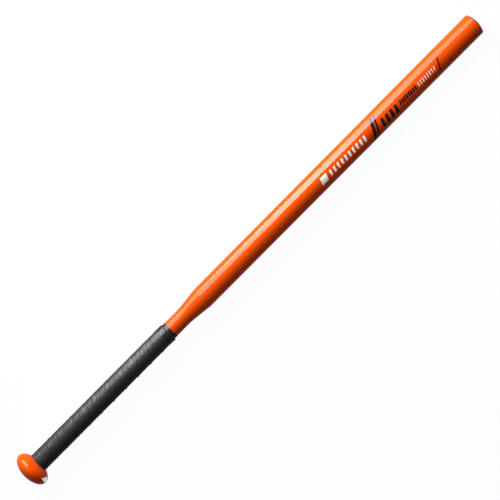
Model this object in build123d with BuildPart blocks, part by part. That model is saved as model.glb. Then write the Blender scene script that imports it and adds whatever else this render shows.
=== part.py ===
from build123d import *
import os

# Thin-barrel contact-training bat for baseball and softball: one swaged aluminium tube with a knob welded
# to its handle, a domed cap welded into its barrel, and a cushioned strip wound round its handle.
#
# Frame: the bat lies along +X, from the centre of the knob's flat bottom face to the tip, with +Z up.
# Every piece is a body of revolution about X, so each profile is drawn in the XY plane, with X along the
# bat and Y as the radius. Sizes are in millimetres.

# Bat
BAT_LENGTH = 838.2  # 33 in
BARREL_RADIUS = 15.875  # 1 1/4 in across
HANDLE_RADIUS = 11.8  # 15/16 in across

# Barrel shell: handle, cone, slightly tapered barrel, then a cylindrical last stretch
CONE_START = 297.0
CONE_END = 329.0
CONE_START_BLEND = 120.0  # radius of the long curve out of the handle
CONE_END_BLEND = 30.0  # radius of the short curve into the barrel
BARREL_START_RADIUS = 15.45
BARREL_TAPER_BLEND = 2000.0
CYLINDER_LENGTH = 100.0  # last stretch of the bat, up to the tip
HANDLE_WALL = 3.0
BARREL_WALL = 2.5

# Tip
CROWN_HEIGHT = 3.9
CROWN_EDGE_RADIUS = 0.8
CAP_SKIRT = 8.0  # cap's full-width length below the crown
CAP_WALL = 3.4
CAP_SPIGOT_LENGTH = 12.0

# Knob
KNOB_RADIUS = 25.0
KNOB_HALF_THICKNESS = 13.4
KNOB_CENTRE = 13.1  # its widest place
KNOB_NECK_END = 27.0  # where the handle tube begins
KNOB_SPIGOT_LENGTH = 25.0

# Joints between the tube and its two ends
SLIP_FIT = 0.05  # radial clearance of a spigot before welding
WELD_DEPTH = 1.8
WELD_HALF_WIDTH = 1.6

# Grip
UNDERLAY_START = 29.0
UNDERLAY_END = 262.0
UNDERLAY_THICKNESS = 0.15
GRIP_START = 25.0
GRIP_END = 265.1
GRIP_RADIUS = 13.15
GRIP_END_BEVEL = 0.9
GRIP_EDGE_RADIUS = 0.4
TAPE_START = 255.6
TAPE_END = 271.2
TAPE_THICKNESS = 0.2
TAPE_RELIEF = 0.4  # how far the tape bridges past the grip's cut end

cylinder_start = BAT_LENGTH - CYLINDER_LENGTH
crown_start = BAT_LENGTH - CROWN_HEIGHT
cap_joint = crown_start - CAP_SKIRT
handle_bore = HANDLE_RADIUS - HANDLE_WALL
barrel_bore = BARREL_RADIUS - BARREL_WALL
barrel_start_bore = BARREL_START_RADIUS - BARREL_WALL
underlay_radius = HANDLE_RADIUS + UNDERLAY_THICKNESS


def weld_ring_profile(joint, radius):
    """Half section of a V-groove weld, ground flush with the tube's outside."""
    Polyline(
        (joint - WELD_HALF_WIDTH, radius),
        (joint, radius - WELD_DEPTH),
        (joint + WELD_HALF_WIDTH, radius),
        close=True,
    )


with BuildPart() as barrel_shell:
    with BuildSketch(Plane.XY):
        with BuildLine():
            outside = FilletPolyline(
                (KNOB_NECK_END + WELD_HALF_WIDTH, HANDLE_RADIUS),
                (CONE_START, HANDLE_RADIUS),
                (CONE_END, BARREL_START_RADIUS),
                (cylinder_start, BARREL_RADIUS),
                (cap_joint - WELD_HALF_WIDTH, BARREL_RADIUS),
                radius=[CONE_START_BLEND, CONE_END_BLEND, BARREL_TAPER_BLEND],
            )
            inside = FilletPolyline(
                (KNOB_NECK_END, handle_bore),
                (CONE_START, handle_bore),
                (CONE_END, barrel_start_bore),
                (cylinder_start, barrel_bore),
                (cap_joint, barrel_bore),
                radius=[CONE_START_BLEND, CONE_END_BLEND, BARREL_TAPER_BLEND],
            )
            Polyline(
                outside @ 0,
                (KNOB_NECK_END, HANDLE_RADIUS - WELD_DEPTH),
                inside @ 0,
            )
            Polyline(
                outside @ 1,
                (cap_joint, BARREL_RADIUS - WELD_DEPTH),
                inside @ 1,
            )
        make_face()
    revolve(axis=Axis.X)
barrel_shell.part.label = "barrel_shell"

with BuildPart() as end_cap:
    with BuildSketch(Plane.XY) as end_cap_section:
        with BuildLine():
            spigot_end = cap_joint - CAP_SPIGOT_LENGTH
            spigot_radius = barrel_bore - SLIP_FIT
            hollow_radius = BARREL_RADIUS - CAP_WALL - BARREL_WALL
            crown = RadiusArc(
                (crown_start, BARREL_RADIUS),
                (BAT_LENGTH, 0),
                (BARREL_RADIUS**2 + CROWN_HEIGHT**2) / (2 * CROWN_HEIGHT),
            )
            Polyline(
                crown @ 0,
                (cap_joint + WELD_HALF_WIDTH, BARREL_RADIUS),
                (cap_joint, BARREL_RADIUS - WELD_DEPTH),
                (cap_joint, spigot_radius),
                (spigot_end, spigot_radius),
                (spigot_end, hollow_radius),
                (crown_start - CAP_WALL, hollow_radius),
                (crown_start - CAP_WALL, 0),
                crown @ 1,
            )
        make_face()
        crown_corner = end_cap_section.vertices().sort_by_distance((crown_start, BARREL_RADIUS))[0]
        fillet(crown_corner, CROWN_EDGE_RADIUS)
    revolve(axis=Axis.X)
end_cap.part.label = "end_cap"

with BuildPart() as end_cap_weld:
    with BuildSketch(Plane.XY):
        with BuildLine():
            weld_ring_profile(cap_joint, BARREL_RADIUS)
        make_face()
    revolve(axis=Axis.X)
end_cap_weld.part.label = "end_cap_weld"

with BuildPart() as knob:
    with BuildSketch(Plane.XY):
        with Locations((KNOB_CENTRE, 0)):
            Ellipse(KNOB_HALF_THICKNESS, KNOB_RADIUS)
        Rectangle(KNOB_NECK_END, KNOB_RADIUS, align=Align.MIN, mode=Mode.INTERSECT)
        with BuildLine():
            Polyline(
                (KNOB_CENTRE, 0),
                (KNOB_CENTRE, HANDLE_RADIUS),
                (KNOB_NECK_END - WELD_HALF_WIDTH, HANDLE_RADIUS),
                (KNOB_NECK_END, HANDLE_RADIUS - WELD_DEPTH),
                (KNOB_NECK_END, handle_bore - SLIP_FIT),
                (KNOB_NECK_END + KNOB_SPIGOT_LENGTH, handle_bore - SLIP_FIT),
                (KNOB_NECK_END + KNOB_SPIGOT_LENGTH, 0),
                close=True,
            )
        make_face()
    revolve(axis=Axis.X)
knob.part.label = "knob"

with BuildPart() as knob_weld:
    with BuildSketch(Plane.XY):
        with BuildLine():
            weld_ring_profile(KNOB_NECK_END, HANDLE_RADIUS)
        make_face()
    revolve(axis=Axis.X)
knob_weld.part.label = "knob_weld"

with BuildPart() as grip_underlay:
    with BuildSketch(Plane.XY):
        with Locations((UNDERLAY_START, HANDLE_RADIUS)):
            Rectangle(UNDERLAY_END - UNDERLAY_START, UNDERLAY_THICKNESS, align=Align.MIN)
    revolve(axis=Axis.X)
grip_underlay.part.label = "grip_underlay"

# The wound strip, as the sleeve that its overlapping turns make up
with BuildPart() as grip_wrap:
    with BuildSketch(Plane.XY) as grip_wrap_section:
        with BuildLine():
            Polyline(
                (GRIP_START, underlay_radius),
                (GRIP_START, GRIP_RADIUS),
                (GRIP_END - GRIP_END_BEVEL, GRIP_RADIUS),
                (GRIP_END, GRIP_RADIUS - GRIP_END_BEVEL),
                (GRIP_END, underlay_radius),
                close=True,
            )
        make_face()
        lower_corner = grip_wrap_section.vertices().sort_by_distance((GRIP_START, GRIP_RADIUS))[0]
        fillet(lower_corner, GRIP_EDGE_RADIUS)
    revolve(axis=Axis.X)
grip_wrap.part.label = "grip_wrap"

with BuildPart() as grip_finish_tape:
    with BuildSketch(Plane.XY):
        with BuildLine():
            Polyline(
                (TAPE_START, GRIP_RADIUS),
                (TAPE_START, GRIP_RADIUS + TAPE_THICKNESS),
                (GRIP_END - GRIP_END_BEVEL, GRIP_RADIUS + TAPE_THICKNESS),
                (GRIP_END + TAPE_RELIEF + TAPE_THICKNESS, HANDLE_RADIUS + TAPE_THICKNESS),
                (TAPE_END, HANDLE_RADIUS + TAPE_THICKNESS),
                (TAPE_END, HANDLE_RADIUS),
                (GRIP_END + TAPE_RELIEF, HANDLE_RADIUS),
                (GRIP_END, GRIP_RADIUS - GRIP_END_BEVEL),
                (GRIP_END - GRIP_END_BEVEL, GRIP_RADIUS),
                close=True,
            )
        make_face()
    revolve(axis=Axis.X)
grip_finish_tape.part.label = "grip_finish_tape"

os.makedirs("parts", exist_ok=True)
export_step(barrel_shell.part, "parts/barrel_shell.step")
export_step(end_cap.part, "parts/end_cap.step")
export_step(end_cap_weld.part, "parts/end_cap_weld.step")
export_step(knob.part, "parts/knob.step")
export_step(knob_weld.part, "parts/knob_weld.step")
export_step(grip_underlay.part, "parts/grip_underlay.step")
export_step(grip_wrap.part, "parts/grip_wrap.step")
export_step(grip_finish_tape.part, "parts/grip_finish_tape.step")
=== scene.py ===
import math

import bmesh
import bpy
from mathutils import Matrix, Vector, noise


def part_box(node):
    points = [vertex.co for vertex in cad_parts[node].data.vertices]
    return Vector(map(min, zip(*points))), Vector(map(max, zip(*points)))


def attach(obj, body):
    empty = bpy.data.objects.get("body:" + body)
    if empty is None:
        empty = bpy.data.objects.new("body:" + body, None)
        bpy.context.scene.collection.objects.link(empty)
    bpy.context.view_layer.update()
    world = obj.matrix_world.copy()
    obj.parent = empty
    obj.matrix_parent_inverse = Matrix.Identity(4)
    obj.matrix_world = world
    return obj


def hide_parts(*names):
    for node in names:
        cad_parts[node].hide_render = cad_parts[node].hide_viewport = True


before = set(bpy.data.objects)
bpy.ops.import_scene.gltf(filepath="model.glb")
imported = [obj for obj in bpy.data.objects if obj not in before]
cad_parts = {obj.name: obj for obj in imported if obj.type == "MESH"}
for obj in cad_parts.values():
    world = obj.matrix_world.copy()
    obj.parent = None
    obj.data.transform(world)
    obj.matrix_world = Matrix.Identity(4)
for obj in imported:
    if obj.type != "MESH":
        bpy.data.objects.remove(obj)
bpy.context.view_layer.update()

# The bat lies along +X with its knob at the origin and +Z up, in metres. A place round the bat is an angle
# from the top, which grows towards -Y.

MM = 0.001
TURN = 2 * math.pi
BODY = "root"

# ---- Sizes read from the frame ----

KNOB_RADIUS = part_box("knob")[1].z
BARREL_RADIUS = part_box("end_cap")[1].z
HANDLE_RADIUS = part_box("knob_weld")[1].z
UNDERLAY_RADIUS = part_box("grip_underlay")[1].z
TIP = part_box("end_cap")[1].x
GRIP_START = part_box("grip_wrap")[0].x
GRIP_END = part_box("grip_wrap")[1].x
TAPE_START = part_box("grip_finish_tape")[0].x
TAPE_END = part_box("grip_finish_tape")[1].x
KNOB_SPIGOT_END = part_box("knob")[1].x
CAP_SPIGOT_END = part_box("end_cap")[0].x
KNOB_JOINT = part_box("barrel_shell")[0].x
CAP_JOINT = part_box("barrel_shell")[1].x

# ---- Sizes of the turned pieces, as in the CAD ----

CONE_START = 297 * MM
CONE_END = 329 * MM
CONE_START_BLEND = 120 * MM
CONE_END_BLEND = 30 * MM
BARREL_START_RADIUS = 15.45 * MM
BARREL_TAPER_BLEND = 2000 * MM
CYLINDER_START = TIP - 100 * MM
HANDLE_WALL = 3 * MM
BARREL_WALL = 2.5 * MM
CROWN_HEIGHT = 3.9 * MM
CROWN_EDGE_RADIUS = 0.8 * MM
CAP_WALL = 3.4 * MM
KNOB_HALF_THICKNESS = 13.4 * MM
KNOB_CENTRE = 13.1 * MM
WELD_DEPTH = 1.8 * MM
WELD_HALF_WIDTH = 1.6 * MM
SLIP_FIT = 0.05 * MM

SEGMENTS = 192  # round the bat
RING_GAP = 8 * MM  # the longest face along the bat
ARC_STEPS = 14
SHARP_ANGLE = math.radians(28)
ON_AXIS = 1e-7  # a profile's point nearer the axis than this is on it


# ---- Mesh helpers ----

def add_mesh(name, vertices, faces, material, slot=None, replaced=()):
    """A smooth closed mesh with outward normals that rides on the bat."""
    mesh = bpy.data.meshes.new(name)
    mesh.from_pydata(vertices, [], faces)
    work = bmesh.new()
    work.from_mesh(mesh)
    bmesh.ops.recalc_face_normals(work, faces=work.faces)
    work.to_mesh(mesh)
    work.free()
    mesh.shade_smooth()
    mesh.set_sharp_from_angle(angle=SHARP_ANGLE)
    mesh.materials.append(material)
    piece = bpy.data.objects.new(name, mesh)
    bpy.context.scene.collection.objects.link(piece)
    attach(piece, BODY)
    if replaced:
        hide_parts(*replaced)
    return piece


def rounded(corners):
    """Points through corners (x, radius, blend). blend is the radius of the arc that rounds a corner off."""
    points = []
    for i, (x, r, blend) in enumerate(corners):
        here = Vector((x, r))
        if not blend:
            points.append(here)
            continue
        before = (Vector(corners[i - 1][:2]) - here).normalized()
        after = (Vector(corners[i + 1][:2]) - here).normalized()
        half = before.angle(after) / 2
        centre = here + (before + after).normalized() * blend / math.sin(half)
        start = here + before * blend / math.tan(half) - centre
        sweep = start.angle_signed(here + after * blend / math.tan(half) - centre)
        for step in range(ARC_STEPS + 1):
            points.append(centre + Matrix.Rotation(-sweep * step / ARC_STEPS, 2) @ start)
    return points


def with_rings(points, closed):
    """The same profile with its long straight runs divided."""
    found = []
    ends = points[1:] + points[:1] if closed else points[1:]
    for a, b in zip(points, ends):
        pieces = max(1, math.ceil((b - a).length / RING_GAP))
        found += [a.lerp(b, k / pieces) for k in range(pieces)]
    return found if closed else found + [points[-1]]


def lathe(name, profile, material, closed, **options):
    """Turns a profile of (x, radius) about the bat's axis. An open one starts and ends on the axis."""
    points = with_rings(profile, closed)
    vertices, rings = [], []
    for x, r in points:
        first = len(vertices)
        if r < ON_AXIS:
            vertices.append((x, 0, 0))
            rings.append([first] * SEGMENTS)
            continue
        for j in range(SEGMENTS):
            angle = TURN * j / SEGMENTS
            vertices.append((x, -r * math.sin(angle), r * math.cos(angle)))
        rings.append(list(range(first, first + SEGMENTS)))
    faces = []
    for a, b in zip(rings, rings[1:] + rings[:1] if closed else rings[1:]):
        for j in range(SEGMENTS):
            k = (j + 1) % SEGMENTS
            corners = list(dict.fromkeys((a[j], b[j], b[k], a[k])))
            faces.append(corners)
    return add_mesh(name, vertices, faces, material, **options)


# ---- Material helpers ----

GLINT_COLOUR = (1.0, 0.8, 0.1, 1.0)
NOISE_RANGE = (0.3, 0.7)  # where nearly all of a noise texture's values lie


class Shader:
    """A Principled material and short ways to feed it."""

    def __init__(self, name, **values):
        self.material = bpy.data.materials.new(name)
        self.material.use_nodes = True
        self.tree = self.material.node_tree
        self.principled = self.tree.nodes["Principled BSDF"]
        for socket, value in values.items():
            self.principled.inputs[socket.replace("_", " ")].default_value = value

    def node(self, kind, **values):
        made = self.tree.nodes.new(kind)
        for key, value in values.items():
            if hasattr(made, key):
                setattr(made, key, value)
            else:
                made.inputs[key.replace("_", " ")].default_value = value
        return made

    def link(self, source, target):
        self.tree.links.new(source, target)

    def feed(self, source, socket):
        self.link(source, self.principled.inputs[socket])

    def place(self, stretch=(1, 1, 1), turn=0.0, uv=None):
        """Object coordinates, or a UV map's, both in metres, for a texture that is turned and drawn out."""
        if uv:
            source = self.node("ShaderNodeUVMap", uv_map=uv).outputs["UV"]
        else:
            source = self.node("ShaderNodeTexCoord").outputs["Object"]
        mapping = self.node("ShaderNodeMapping", vector_type="TEXTURE")
        mapping.inputs["Scale"].default_value = stretch
        mapping.inputs["Rotation"].default_value = (0, 0, turn)
        self.link(source, mapping.inputs["Vector"])
        return mapping.outputs["Vector"]

    def noise(self, where, scale, detail=3.0, roughness=0.5):
        texture = self.node("ShaderNodeTexNoise", Scale=scale, Detail=detail, Roughness=roughness)
        self.link(where, texture.inputs["Vector"])
        return texture.outputs["Fac"]

    def span(self, value, low, high, start=0.0, end=1.0):
        """A value from start..end carried to low..high."""
        ramp = self.node("ShaderNodeMapRange")
        ramp.inputs["From Min"].default_value = start
        ramp.inputs["From Max"].default_value = end
        ramp.inputs["To Min"].default_value = low
        ramp.inputs["To Max"].default_value = high
        self.link(value, ramp.inputs["Value"])
        return ramp.outputs["Result"]

    def mix(self, factor, first, second):
        mixer = self.node("ShaderNodeMix", data_type="RGBA")
        self.link(factor, mixer.inputs["Factor"])
        mixer.inputs["A"].default_value = (*first, 1)
        mixer.inputs["B"].default_value = (*second, 1)
        return mixer.outputs["Result"]

    def bump(self, height, distance, strength=1.0, after=None):
        made = self.node("ShaderNodeBump", Distance=distance, Strength=strength)
        self.link(height, made.inputs["Height"])
        if after:
            self.link(after, made.inputs["Normal"])
        return made.outputs["Normal"]


def glossy_coat(name, dark, light, coat, glint):
    """Enamel or ink under a clear coat, with a trace of orange peel. glint is its pigment's golden gloss."""
    shader = Shader(
        name,
        Specular_IOR_Level=glint,
        Specular_Tint=GLINT_COLOUR,
        Coat_Weight=coat,
        Coat_Roughness=0.05,
        Coat_IOR=1.5,
    )
    where = shader.place()
    shader.feed(shader.mix(shader.noise(where, scale=14, detail=2), dark, light), "Base Color")
    satin = shader.noise(where, scale=160, detail=4)
    shader.feed(shader.span(satin, 0.06, 0.12, *NOISE_RANGE), "Roughness")
    ripple = shader.noise(where, scale=300, detail=1)
    peel = shader.bump(ripple, distance=0.02 * MM, strength=0.05)
    shader.feed(peel, "Normal")
    shader.feed(peel, "Coat Normal")
    return shader.material


WORN_GLOSS = 0.18  # of the grip at its knob end, where hands dulled it
FRESH_GLOSS = 0.4
FRESH_START = 210 * MM  # along the bat


def grip_material():
    """Black polyurethane strip: pebbled, worn, with streaks where it was stretched on."""
    shader = Shader("grip_strip", IOR=1.5)
    fine = shader.place(uv="strip")
    streaks = shader.place(stretch=(3, 1, 1), turn=PUCKER_ANGLE, uv="strip")
    streak = shader.noise(streaks, scale=280, detail=2)
    mottle = shader.noise(fine, scale=90)
    pebble = shader.node("ShaderNodeTexVoronoi", feature="SMOOTH_F1", Scale=1500.0, Smoothness=0.6)
    shader.link(fine, pebble.inputs["Vector"])
    shader.feed(shader.mix(mottle, (0.02, 0.02, 0.0205), (0.031, 0.031, 0.0315)), "Base Color")
    shader.feed(shader.span(streak, 0.28, 0.46, *NOISE_RANGE), "Roughness")
    along = shader.node("ShaderNodeSeparateXYZ")
    shader.link(shader.place(), along.inputs["Vector"])
    gloss = shader.span(along.outputs["X"], WORN_GLOSS, FRESH_GLOSS, GRIP_START, FRESH_START)
    shader.feed(gloss, "Specular IOR Level")
    pebbled = shader.bump(pebble.outputs["Distance"], distance=0.05 * MM, strength=0.5)
    shader.feed(shader.bump(streak, distance=0.9 * MM, strength=0.9, after=pebbled), "Normal")
    return shader.material


def tape_material():
    """Glossy black vinyl tape, drawn tight."""
    shader = Shader("finish_tape", IOR=1.5, Specular_IOR_Level=0.42)
    where = shader.place(stretch=(1, 4, 4))
    pull = shader.noise(where, scale=300)
    shader.feed(shader.mix(pull, (0.016, 0.016, 0.017), (0.026, 0.026, 0.028)), "Base Color")
    shader.feed(shader.span(pull, 0.16, 0.3, *NOISE_RANGE), "Roughness")
    shader.feed(shader.bump(pull, distance=0.08 * MM, strength=0.4), "Normal")
    return shader.material


def label_material():
    """White label film with painted light: a weak glow of its own keeps it light in the shade."""
    shader = Shader(
        "label_film",
        Specular_IOR_Level=0.5,
        # painted light: the label glows by itself, though it is no lamp
        Emission_Color=(1, 1, 1, 1),
        Emission_Strength=0.35,
    )
    where = shader.place()
    tone = shader.noise(where, scale=400)
    shader.feed(shader.mix(tone, (0.84, 0.84, 0.84), (0.9, 0.9, 0.9)), "Base Color")
    shader.feed(shader.span(shader.noise(where, scale=900), 0.25, 0.4, *NOISE_RANGE), "Roughness")
    grain = shader.noise(where, scale=1500)
    shader.feed(shader.bump(grain, distance=0.01 * MM, strength=0.3), "Normal")
    return shader.material


def underlay_material():
    """Creamy paper-backed adhesive tape."""
    shader = Shader("underlay_tape", Roughness=0.8)
    where = shader.place()
    tone = shader.noise(where, scale=300)
    shader.feed(shader.mix(tone, (0.55, 0.5, 0.38), (0.66, 0.6, 0.46)), "Base Color")
    shader.feed(shader.bump(shader.noise(where, scale=1200), distance=0.03 * MM), "Normal")
    return shader.material


def weld_material():
    """Bare aluminium weld, linished across."""
    shader = Shader("weld_metal", Metallic=1.0)
    where = shader.place(stretch=(1, 6, 6))
    scratch = shader.noise(where, scale=900, detail=4)
    shader.feed(shader.mix(scratch, (0.6, 0.61, 0.63), (0.76, 0.77, 0.79)), "Base Color")
    shader.feed(shader.span(scratch, 0.25, 0.5), "Roughness")
    shader.feed(shader.bump(scratch, distance=0.02 * MM), "Normal")
    return shader.material


ORANGE = glossy_coat("orange_enamel", (0.69, 0.062, 0.0014), (0.71, 0.066, 0.0018), coat=0.48, glint=0.05)
WHITE_INK = glossy_coat("white_ink", (0.82, 0.82, 0.81), (0.88, 0.88, 0.87), coat=0.52, glint=0.0)
BLACK_INK = glossy_coat("black_ink", (0.009, 0.009, 0.01), (0.013, 0.013, 0.014), coat=0.75, glint=0.0)
RED_INK = glossy_coat("dark_red_ink", (0.09, 0.007, 0.002), (0.12, 0.009, 0.003), coat=0.75, glint=0.0)


# ---- Turned pieces ----

def tube_outside():
    return rounded([
        (KNOB_JOINT + WELD_HALF_WIDTH, HANDLE_RADIUS, 0),
        (CONE_START, HANDLE_RADIUS, CONE_START_BLEND),
        (CONE_END, BARREL_START_RADIUS, CONE_END_BLEND),
        (CYLINDER_START, BARREL_RADIUS, BARREL_TAPER_BLEND),
        (CAP_JOINT - WELD_HALF_WIDTH, BARREL_RADIUS, 0),
    ])


def tube_inside():
    return rounded([
        (CAP_JOINT, BARREL_RADIUS - BARREL_WALL, 0),
        (CYLINDER_START, BARREL_RADIUS - BARREL_WALL, BARREL_TAPER_BLEND),
        (CONE_END, BARREL_START_RADIUS - BARREL_WALL, CONE_END_BLEND),
        (CONE_START, HANDLE_RADIUS - HANDLE_WALL, CONE_START_BLEND),
        (KNOB_JOINT, HANDLE_RADIUS - HANDLE_WALL, 0),
    ])


OUTSIDE = tube_outside()


def bat_radius(x):
    """The painted tube's outside radius at x."""
    for a, b in zip(OUTSIDE, OUTSIDE[1:]):
        if a.x <= x <= b.x:
            return a.y + (b.y - a.y) * (x - a.x) / (b.x - a.x)
    return BARREL_RADIUS


def make_tube():
    cap_groove = Vector((CAP_JOINT, BARREL_RADIUS - WELD_DEPTH))
    knob_groove = Vector((KNOB_JOINT, HANDLE_RADIUS - WELD_DEPTH))
    profile = OUTSIDE + [cap_groove] + tube_inside() + [knob_groove]
    lathe("barrel_tube", profile, ORANGE, True, slot="orange_enamel", replaced=["barrel_shell"])


def weld_profile(joint, radius):
    return [
        Vector((joint - WELD_HALF_WIDTH, radius)),
        Vector((joint, radius - WELD_DEPTH)),
        Vector((joint + WELD_HALF_WIDTH, radius)),
    ]


def crown_profile():
    """From the cap's skirt over its rounded edge and along the shallow dome to the tip."""
    sphere = (BARREL_RADIUS ** 2 + CROWN_HEIGHT ** 2) / (2 * CROWN_HEIGHT)
    sphere_centre = TIP - sphere
    edge_radius = BARREL_RADIUS - CROWN_EDGE_RADIUS
    reach = sphere - CROWN_EDGE_RADIUS
    edge_centre = sphere_centre + math.sqrt(reach ** 2 - edge_radius ** 2)
    edge_turn = math.acos((edge_centre - sphere_centre) / reach)
    points = []
    for step in range(ARC_STEPS + 1):
        angle = math.pi / 2 + (edge_turn - math.pi / 2) * step / ARC_STEPS
        points.append(Vector((
            edge_centre + CROWN_EDGE_RADIUS * math.cos(angle),
            edge_radius + CROWN_EDGE_RADIUS * math.sin(angle),
        )))
    dome_steps = 3 * ARC_STEPS
    for step in range(1, dome_steps + 1):
        angle = edge_turn * (1 - step / dome_steps)
        points.append(Vector((sphere_centre + sphere * math.cos(angle), sphere * math.sin(angle))))
    return points


def make_cap():
    spigot = BARREL_RADIUS - BARREL_WALL - SLIP_FIT
    hollow = BARREL_RADIUS - BARREL_WALL - CAP_WALL
    hollow_end = TIP - CROWN_HEIGHT - CAP_WALL
    profile = [
        Vector((hollow_end, 0)),
        Vector((hollow_end, hollow)),
        Vector((CAP_SPIGOT_END, hollow)),
        Vector((CAP_SPIGOT_END, spigot)),
        Vector((CAP_JOINT, spigot)),
        Vector((CAP_JOINT, BARREL_RADIUS - WELD_DEPTH)),
        Vector((CAP_JOINT + WELD_HALF_WIDTH, BARREL_RADIUS)),
    ]
    lathe("tip_cap", profile + crown_profile(), ORANGE, False, slot="orange_enamel", replaced=["end_cap"])
    weld = weld_profile(CAP_JOINT, BARREL_RADIUS)
    lathe("tip_weld", weld, ORANGE, True, slot="orange_enamel", replaced=["end_cap_weld"])


def knob_radius(x):
    return KNOB_RADIUS * math.sqrt(max(0.0, 1 - ((x - KNOB_CENTRE) / KNOB_HALF_THICKNESS) ** 2))


def make_knob():
    first = math.acos(-KNOB_CENTRE / KNOB_HALF_THICKNESS)
    last = math.asin(HANDLE_RADIUS / KNOB_RADIUS)
    steps = 6 * ARC_STEPS
    profile = [Vector((0, 0))]
    for step in range(steps + 1):
        angle = first + (last - first) * step / steps
        profile.append(Vector((
            KNOB_CENTRE + KNOB_HALF_THICKNESS * math.cos(angle),
            KNOB_RADIUS * math.sin(angle),
        )))
    spigot = HANDLE_RADIUS - HANDLE_WALL - SLIP_FIT
    profile += [
        Vector((KNOB_JOINT - WELD_HALF_WIDTH, HANDLE_RADIUS)),
        Vector((KNOB_JOINT, HANDLE_RADIUS - WELD_DEPTH)),
        Vector((KNOB_JOINT, spigot)),
        Vector((KNOB_SPIGOT_END, spigot)),
        Vector((KNOB_SPIGOT_END, 0)),
    ]
    lathe("painted_knob", profile, ORANGE, False, slot="orange_enamel", replaced=["knob"])


# ---- Grip: one strip wound in overlapping turns ----

STRIP_THICKNESS = 1.22 * MM
LIP_THICKNESS = 0.85 * MM  # of the strip's knob-side edge, which shows at every seam
TIGHT_LIP = 0.44  # share of it that is left where the strip was pulled tight
LIP_ROUND = 0.45 * MM
OVERLAP = 3.3 * MM
SKIVE = 3.4 * MM  # how far in from an edge the strip reaches its full thickness
THINNEST = 0.02 * MM
LAYER_GAP = 0.01 * MM
FRONT_ANGLE = math.radians(44)  # towards +Y from the top, where the seams are counted
FIRST_SEAM = 34.0 * MM
PITCH = 22.7 * MM
PITCH_SHORTFALL = 5.6 * MM  # the first turn is wound closer, and the next ones open up
PITCH_SETTLES = 2.0  # turns
PITCH_WANDER = 0.5 * MM
SLACK_FROM = 2.5  # turns that were wound tight, before the strip starts to stand off
SLACK_OVER = 2  # turns in which it does so fully
TURNS_SEARCHED = (-4.0, 20.0)
HALVINGS = 50
END_SLIVER = 1 * MM  # width that is left of the strip at its two ends, which the grip's ends cut off
STEPS_PER_TURN = 120
OUTER_SAMPLES = 52
INNER_SAMPLES = 10
PUCKER_ANGLE = math.radians(20)  # of the puckers, from the strip's length towards the tip
PUCKER_LENGTH = 9 * MM
PUCKER_WIDTH = 2 * MM
PUCKER_HEIGHT = 0.11 * MM
UNEVENNESS = 0.08 * MM
UNEVEN_LENGTH = 30 * MM
UNEVEN_WIDTH = 9 * MM


def smooth(t):
    t = min(1.0, max(0.0, t))
    return t * t * (3 - 2 * t)


def seam(turn):
    """Where the strip's knob-side edge is, so many turns after the first seam on the front."""
    if turn < 0:
        return FIRST_SEAM + (PITCH - PITCH_SHORTFALL) * turn
    drift = PITCH_SHORTFALL * PITCH_SETTLES * (1 - math.exp(-turn / PITCH_SETTLES))
    wander = PITCH_WANDER * noise.noise(Vector((turn * 0.9, 3.1, 0)))
    return FIRST_SEAM + PITCH * turn - drift + wander * smooth(turn)


def turn_where(x):
    """How many turns bring the strip's knob-side edge to x."""
    low, high = TURNS_SEARCHED
    for _ in range(HALVINGS):
        middle = (low + high) / 2
        low, high = (middle, high) if seam(middle) < x else (low, middle)
    return low


STRIP_FIRST = turn_where(GRIP_START - OVERLAP + END_SLIVER) - 1
STRIP_LAST = turn_where(GRIP_END - END_SLIVER)


def lip_height(turn):
    """The strip stands off a little on the side towards -Y, after the first few tight turns."""
    slack_side = 0.5 - 0.5 * math.sin(FRONT_ANGLE + TURN * turn)
    slack = slack_side * smooth((turn - SLACK_FROM) / SLACK_OVER)
    return LIP_THICKNESS * (TIGHT_LIP + (1 - TIGHT_LIP) * slack)


def strip_thickness(x, turn):
    """Thickness of a turn at x: a rounded lip, a skived rise, then even to the far skive."""
    across = x - seam(turn)
    left = seam(turn + 1) + OVERLAP - x
    if across < 0 or left < 0:
        return 0.0
    curve = 1 - min(across, LIP_ROUND) / LIP_ROUND
    lip = lip_height(turn) * math.sqrt(max(0.0, 1 - curve * curve))
    rise = (STRIP_THICKNESS - lip_height(turn)) * smooth(across / SKIVE)
    return max(THINNEST, (lip + rise) * smooth(left / SKIVE))


def pucker(x, turn):
    """Slanting puckers and slow unevenness of a strip stretched on by hand."""
    along = turn * TURN * UNDERLAY_RADIUS
    across = x - seam(turn)
    run = along * math.cos(PUCKER_ANGLE) + across * math.sin(PUCKER_ANGLE)
    side = across * math.cos(PUCKER_ANGLE) - along * math.sin(PUCKER_ANGLE)
    puckers = noise.noise(Vector((run / PUCKER_LENGTH, side / PUCKER_WIDTH, 7.7)))
    slow = noise.noise(Vector((along / UNEVEN_LENGTH, across / UNEVEN_WIDTH, 1.3)))
    return PUCKER_HEIGHT * puckers + UNEVENNESS * slow


def under_strip(x, turn):
    """Radius of what a turn lies on at x: the turn before it, or the underlay."""
    if turn - 1 < STRIP_FIRST or x > seam(turn) + OVERLAP:
        return UNDERLAY_RADIUS
    return UNDERLAY_RADIUS + strip_thickness(x, turn - 1) * (1 + pucker(x, turn - 1) / STRIP_THICKNESS)


def strip_top(x, turn):
    """Radius of a turn's outer face."""
    thickness = strip_thickness(x, turn)
    return under_strip(x, turn) + thickness * (1 + pucker(x, turn) / STRIP_THICKNESS)


def grip_radius(x, angle):
    """Radius of the wound grip's outside, at an angle from the top towards +Y."""
    found = HANDLE_RADIUS
    if GRIP_START <= x <= GRIP_END:
        turn = (angle - FRONT_ANGLE) / TURN
        turn += math.floor(STRIP_FIRST - turn)
        while turn <= STRIP_LAST:
            if turn >= STRIP_FIRST and seam(turn) <= x <= seam(turn + 1) + OVERLAP:
                found = max(found, strip_top(x, turn))
            turn += 1
    return found


def at_angle(x, radius, angle):
    return (x, radius * math.sin(angle), radius * math.cos(angle))


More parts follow.
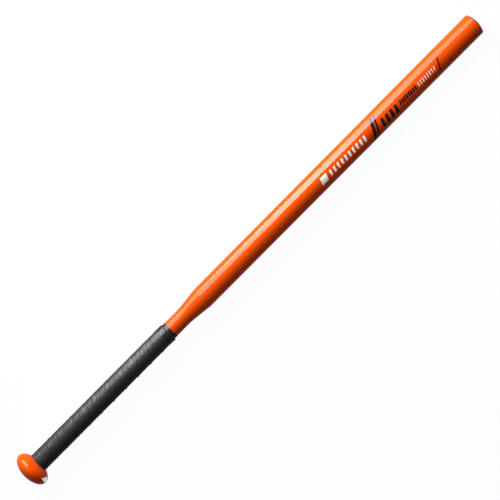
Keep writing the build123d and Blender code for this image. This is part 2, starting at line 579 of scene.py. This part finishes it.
def make_grip():
    share = [k / (OUTER_SAMPLES - 1) for k in range(OUTER_SAMPLES)]
    # Samples crowd at the knob-side edge, where the lip is
    outer_places = [0.35 * s ** 3 + 0.65 * s ** 1.5 if s < 1 else 1.0 for s in share]
    inner_places = [1 - k / (INNER_SAMPLES - 1) for k in range(INNER_SAMPLES)]
    sections = round((STRIP_LAST - STRIP_FIRST) * STEPS_PER_TURN)
    vertices, places = [], []
    for i in range(sections + 1):
        turn = STRIP_FIRST + (STRIP_LAST - STRIP_FIRST) * i / sections
        angle = FRONT_ANGLE + TURN * turn
        edge = seam(turn)
        low = max(GRIP_START, edge)
        high = min(GRIP_END, seam(turn + 1) + OVERLAP)
        for place in outer_places:
            x = low + (high - low) * place
            vertices.append(at_angle(x, strip_top(x, turn), angle))
            places.append((turn * TURN * UNDERLAY_RADIUS, x - edge))
        for place in inner_places:
            x = low + (high - low) * place
            below = min(under_strip(x, turn) + LAYER_GAP, strip_top(x, turn) - LAYER_GAP)
            vertices.append(at_angle(x, below, angle))
            places.append((turn * TURN * UNDERLAY_RADIUS, x - edge))
    count = OUTER_SAMPLES + INNER_SAMPLES
    faces = []
    for i in range(sections):
        a, b = i * count, (i + 1) * count
        for j in range(count):
            k = (j + 1) % count
            faces.append((a + j, a + k, b + k, b + j))
    faces.append(tuple(range(count)))
    faces.append(tuple(range(sections * count, (sections + 1) * count)))
    material = grip_material()
    piece = add_mesh("grip_strip", vertices, faces, material, slot="grip_strip", replaced=["grip_wrap"])
    layer = piece.data.uv_layers.new(name="strip")
    for loop in piece.data.loops:
        layer.data[loop.index].uv = places[loop.vertex_index]


# ---- Finishing tape over the grip's upper end ----

TAPE_THICKNESS = 0.2 * MM
TAPE_RING_GAP = 0.3 * MM
TAPE_BRIDGE = 1.3 * MM  # how far the tape takes to come down from the grip to the handle
TAPE_CUT = math.radians(205)  # where the tape's cut end lies, towards +Y from the top
TAPE_LAP = math.radians(70)
LAP_SHARE = 0.6  # of the tape's thickness, by which its lap stands up
TAPE_RIPPLE = 0.04 * MM
TAPE_RIPPLE_LENGTH = 3 * MM
TAPE_WAVER = 0.25 * MM  # of its lower edge
TAPE_DROP_START = 0.2 * MM  # before the grip's end
TAPE_LETS_GO = 0.3 * MM  # before the grip's end, where the tape stops following the grip


def tape_radius(x, angle):
    """Outside radius of the tape: it follows the grip, drops to the handle, and is doubled where it laps."""
    down = smooth((x - GRIP_END + TAPE_DROP_START) / TAPE_BRIDGE)
    on_grip = grip_radius(min(x, GRIP_END - TAPE_LETS_GO), angle)
    where = Vector((x / TAPE_RIPPLE_LENGTH, 3 * math.sin(angle), 3 * math.cos(angle)))
    ripples = TAPE_RIPPLE * noise.noise(where)
    lap = TAPE_THICKNESS * LAP_SHARE * (0 < (angle - TAPE_CUT) % TURN < TAPE_LAP)
    return on_grip + (HANDLE_RADIUS - on_grip) * down + ripples * (1 - 0.6 * down) + TAPE_THICKNESS + lap


def make_tape():
    rings = round((TAPE_END - TAPE_START) / TAPE_RING_GAP)
    vertices, faces = [], []
    for i in range(rings + 1):
        for side in (0, 1):
            for j in range(SEGMENTS):
                angle = TURN * j / SEGMENTS
                waver = TAPE_WAVER * noise.noise(Vector((2 * math.sin(angle), 2 * math.cos(angle), 5)))
                x = TAPE_START + waver * (1 - i / rings) + (TAPE_END - TAPE_START - waver) * i / rings
                radius = tape_radius(x, angle) - side * (TAPE_THICKNESS - LAYER_GAP)
                vertices.append(at_angle(x, radius, angle))

    def row(i, side):
        return (i * 2 + side) * SEGMENTS

    for j in range(SEGMENTS):
        k = (j + 1) % SEGMENTS
        for i in range(rings):
            for side in (0, 1):
                a, b = row(i, side), row(i + 1, side)
                faces.append((a + j, a + k, b + k, b + j))
        for i in (0, rings):
            a, b = row(i, 0), row(i, 1)
            faces.append((a + j, a + k, b + k, b + j))
    material = tape_material()
    replaced = ["grip_finish_tape"]
    add_mesh("finishing_tape", vertices, faces, material, slot="finish_tape", replaced=replaced)


# ---- Printed graphics, as thin layers of ink ----

INK_HEIGHT = 0.03 * MM
INK_BURIED = 0.03 * MM
INK_STEP = 1.2 * MM
BLOCK_SLANT = 0.36  # how far a print leans towards the tip for its height
BAR_SLANT = 0.22
STRIPE_SLANT = 0.46
STRIPE_TOP = -11.8 * MM  # round the barrel from the top line, positive towards -Y
STRIPE_BOTTOM = 21.2 * MM
BLACK_BAR_SHARE = 0.54  # of a row's pitch
WHITE_BAR_SHARE = 0.46
BLACK_TICK_SHARE = 0.74
WHITE_TICK_SHARE = 0.34
KNOB_LABEL = (  # the knob label's two edges, as its corners' mm along the bat and degrees round it
    ((16.4, 44), (20.5, 70)),
    ((12.6, 72), (17.3, 88)),
)
KNOB_LABEL_STEPS = 16


class Ink:
    """Collects printed patches of one colour into one mesh."""

    def __init__(self):
        self.vertices = []
        self.faces = []

    def patch(self, corner, across, down):
        """A patch on the bat: corner(u, v) gives (x, radius, angle) for u and v from 0 to 1."""
        first = len(self.vertices)
        wide, high = across + 1, down + 1
        for lift in (INK_HEIGHT, -INK_BURIED):
            for j in range(high):
                for i in range(wide):
                    x, radius, angle = corner(i / across, j / down)
                    self.vertices.append(at_angle(x, radius + lift, -angle))
        under = wide * high
        for j in range(down):
            for i in range(across):
                a = first + j * wide + i
                self.faces.append((a, a + 1, a + 1 + wide, a + wide))
                self.faces.append((a + under, a + wide + under, a + 1 + wide + under, a + 1 + under))
        rim = list(range(wide))
        rim += [j * wide + across for j in range(1, high)]
        rim += [down * wide + i for i in range(across - 1, -1, -1)]
        rim += [j * wide for j in range(down - 1, 0, -1)]
        for a, b in zip(rim, rim[1:] + rim[:1]):
            self.faces.append((first + a, first + b, first + b + under, first + a + under))

    def bar(self, x, length, top, bottom, slant):
        """A slanted bar on the barrel, from top to bottom round it. x is its left end on the top line."""

        def corner(u, v):
            round_it = top + (bottom - top) * v
            place = x - slant * round_it + length * u
            radius = bat_radius(place)
            return place, radius, round_it / radius

        across = max(1, round(length / (4 * INK_STEP)))
        down = max(1, round((bottom - top) / INK_STEP))
        self.patch(corner, across, down)

    def row(self, start, end, count, top, bottom, share):
        """Even bars from start to end, each of them this share of the pitch."""
        pitch = (end - start) / (count - 1 + share)
        for i in range(count):
            self.bar(start + pitch * i, pitch * share, top, bottom, BAR_SLANT)

    def make(self, name, material):
        add_mesh(name, self.vertices, self.faces, material)


def make_prints():
    white, black, red = Ink(), Ink(), Ink()
    # A white block and a row of white bars
    white.bar(x=546.5 * MM, length=11.0 * MM, top=-0.8 * MM, bottom=9.0 * MM, slant=BLOCK_SLANT)
    white.row(562.3 * MM, 627.6 * MM, count=10, top=0.3 * MM, bottom=8.0 * MM, share=WHITE_BAR_SHARE)
    # Two black stripes and, further on, a dark red slash
    for x, length in ((641.2 * MM, 5.2 * MM), (648.0 * MM, 3.2 * MM)):
        black.bar(x, length, STRIPE_TOP, STRIPE_BOTTOM, STRIPE_SLANT)
    red.bar(x=762.3 * MM, length=2.5 * MM, top=-4.3 * MM, bottom=12.8 * MM, slant=STRIPE_SLANT)
    # A row of black bars, then two rows of ticks
    black.row(656.5 * MM, 685.5 * MM, count=4, top=0.3 * MM, bottom=12.8 * MM, share=BLACK_BAR_SHARE)
    black.row(690.5 * MM, 720.7 * MM, count=8, top=0.8 * MM, bottom=7.0 * MM, share=BLACK_TICK_SHARE)
    white.row(724.7 * MM, 755.0 * MM, count=8, top=0.8 * MM, bottom=7.0 * MM, share=WHITE_TICK_SHARE)

    white.make("print_white", WHITE_INK)
    black.make("print_black", BLACK_INK)
    red.make("print_dark_red", RED_INK)


def between(a, b, share):
    """A pair of numbers so far on the way from a to b."""
    return [p + (q - p) * share for p, q in zip(a, b)]


def make_knob_label():
    """A plain white label that wraps over the knob's rim on the -Y side."""

    def corner(u, v):
        ends = [between(*edge, u) for edge in KNOB_LABEL]
        x, angle = between(*ends, v)
        return x * MM, knob_radius(x * MM), math.radians(angle)

    label = Ink()
    label.patch(corner, KNOB_LABEL_STEPS, KNOB_LABEL_STEPS)
    label.make("knob_label", label_material())


# ---- The object ----

make_tube()
make_cap()
make_knob()
make_grip()
make_tape()
make_prints()
make_knob_label()
for node, material in (("knob_weld", weld_material()), ("grip_underlay", underlay_material())):
    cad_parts[node].material_slots[0].material = material


# ---- Studio ----

CAMERA_HEIGHT = 2.2
PICTURE_WIDTH = 0.6545  # of the field at the bat's axis
SENSOR = 36.0
FAR_CLIP = 50
BAT_ANGLE = math.radians(45.19)  # of the bat in the picture
PICTURE_CENTRE = Vector((0.4172, -0.0001, 0))
BOX_DISTANCE = 1.6
BOX_ANGLE = math.radians(59.7)  # from the top towards +Y
BOX_HALF_ANGLE = math.radians(29)
BOX_LENGTH = 1.38
BOX_MIDDLE = 0.51  # along the bat
BOX_TURN = math.radians(12)  # about its own axis, which brings its +X end nearer the top
BOX_RADIANCE = 7.0
HOT_SPOT = 0.5  # along the bat, level with its axis
HOT_SPOT_LEAN = 0.12  # how far it moves towards the tip for its height
HOT_SPOT_SPREAD = 0.164
HOT_SPOT_RADIANCE = 12.5
FLOOR_REACH = 15.0
FLOOR_GREY = 0.03  # so dark that the bat's shadow stays faint
FLOOR_GLOW = 0.955
BOUNCE_REACH = 1.2  # of the sheets that light the bat
BOUNCE_GLOW = 0.8
MIRRORED_GLOW = 0.17
FILL_DISTANCE = 2.0
FILL_LENGTH = 3.0
FILL_HEIGHT = 1.5
FILL_RADIANCE = 3.0
WORLD_RADIANCE = 0.03


def make_camera():
    camera = bpy.data.objects.new("camera", bpy.data.cameras.new("camera"))
    camera.data.sensor_width = SENSOR
    camera.data.lens = SENSOR * CAMERA_HEIGHT / PICTURE_WIDTH
    camera.data.clip_end = FAR_CLIP
    camera.location = PICTURE_CENTRE + Vector((0, 0, CAMERA_HEIGHT))
    camera.rotation_euler = (0, 0, -BAT_ANGLE)
    bpy.context.scene.collection.objects.link(camera)
    bpy.context.scene.camera = camera


def floor_sheet(name, reach, end, material):
    """A sheet from x = -reach to x = end that touches the knob's rim and the barrel's end from below."""
    slope = (KNOB_RADIUS - BARREL_RADIUS) / (TIP - CROWN_HEIGHT - KNOB_CENTRE)
    corners = []
    for x, y in ((-reach, -reach), (end, -reach), (end, reach), (-reach, reach)):
        corners.append((x, y, -KNOB_RADIUS + slope * (x - KNOB_CENTRE)))
    mesh = bpy.data.meshes.new(name)
    mesh.from_pydata(corners, [], [(0, 1, 2, 3)])
    mesh.materials.append(material)
    sheet = bpy.data.objects.new(name, mesh)
    bpy.context.scene.collection.objects.link(sheet)
    return sheet


def glow_material(name, base, strength):
    """A matt grey sheet that gives light of its own. Sampled as a lamp, it would make the render grainy."""
    shader = Shader(
        name,
        Base_Color=(base, base, base, 1),
        Roughness=1.0,
        Specular_IOR_Level=0.0,
        Emission_Color=(1, 1, 1, 1),
        Emission_Strength=strength,
    )
    shader.material.cycles.emission_sampling = "NONE"
    return shader.material


def make_floor():
    """The floor that the camera sees, and two sheets in its place that light the bat."""
    floor = floor_sheet("floor", FLOOR_REACH, FLOOR_REACH, glow_material("floor", FLOOR_GREY, FLOOR_GLOW))
    floor.visible_diffuse = False
    floor.visible_glossy = False
    floor.visible_shadow = False
    for name, end, strength, unseen_by in (
        ("floor_bounce", TIP, BOUNCE_GLOW, "visible_glossy"),
        ("floor_mirrored", TIP + BOUNCE_REACH, MIRRORED_GLOW, "visible_diffuse"),
    ):
        sheet = floor_sheet(name, BOUNCE_REACH, end, glow_material(name, 0.0, strength))
        sheet.visible_camera = False
        sheet.visible_shadow = False
        setattr(sheet, unseen_by, False)


def gradient(light):
    """Makes a lamp brightest at the hot spot, with a bell curve along the bat."""
    light.use_nodes = True
    tree = light.node_tree
    along = tree.nodes.new("ShaderNodeVectorMath")
    along.operation = "DOT_PRODUCT"
    along.inputs[1].default_value = (1, 0, -HOT_SPOT_LEAN)
    tree.links.new(tree.nodes.new("ShaderNodeNewGeometry").outputs["Position"], along.inputs[0])
    last = along.outputs["Value"]
    steps = (
        ("SUBTRACT", HOT_SPOT),
        ("DIVIDE", HOT_SPOT_SPREAD),
        ("POWER", 2.0),
        ("MULTIPLY", -0.5),
        ("EXPONENT", 0.0),
        ("MULTIPLY", HOT_SPOT_RADIANCE),
        ("ADD", BOX_RADIANCE),
    )
    for operation, value in steps:
        step = tree.nodes.new("ShaderNodeMath")
        step.operation = operation
        tree.links.new(last, step.inputs[0])
        step.inputs[1].default_value = value  # which EXPONENT doesn't use
        last = step.outputs["Value"]
    tree.links.new(last, tree.nodes["Emission"].inputs["Strength"])


def make_softbox():
    """A long softbox above the bat on the +Y side, whose lamp stands behind its middle."""
    light = bpy.data.lights.new("softbox", "AREA")
    light.shape = "RECTANGLE"
    light.size = BOX_LENGTH
    light.size_y = 2 * BOX_DISTANCE * math.tan(BOX_HALF_ANGLE)
    light.energy = math.pi * light.size * light.size_y  # so that the gradient's value is the radiance
    gradient(light)
    softbox = bpy.data.objects.new("softbox", light)
    softbox.location = (
        BOX_MIDDLE,
        BOX_DISTANCE * math.sin(BOX_ANGLE),
        BOX_DISTANCE * math.cos(BOX_ANGLE),
    )
    facing = Matrix.Rotation(-BOX_ANGLE, 4, "X") @ Matrix.Rotation(BOX_TURN, 4, "Z")
    softbox.rotation_euler = facing.to_euler()
    softbox.visible_camera = False
    bpy.context.scene.collection.objects.link(softbox)


def make_side_fill():
    """A broad weak panel on the +Y side that lights the bat's flank but isn't mirrored in it."""
    light = bpy.data.lights.new("side_fill", "AREA")
    light.shape = "RECTANGLE"
    light.size = FILL_LENGTH
    light.size_y = FILL_HEIGHT
    light.energy = math.pi * FILL_LENGTH * FILL_HEIGHT * FILL_RADIANCE
    fill = bpy.data.objects.new("side_fill", light)
    fill.location = (BOX_MIDDLE, FILL_DISTANCE, 0)
    fill.rotation_euler = (-math.pi / 2, 0, 0)
    fill.visible_camera = False
    fill.visible_glossy = False
    bpy.context.scene.collection.objects.link(fill)


def make_world():
    world = bpy.data.worlds.new("studio")
    world.use_nodes = True
    background = world.node_tree.nodes["Background"]
    background.inputs["Color"].default_value = (1, 1, 1, 1)
    background.inputs["Strength"].default_value = WORLD_RADIANCE
    bpy.context.scene.world = world


make_camera()
make_floor()
make_softbox()
make_side_fill()
make_world()
bpy.context.scene.view_settings.view_transform = "Standard"
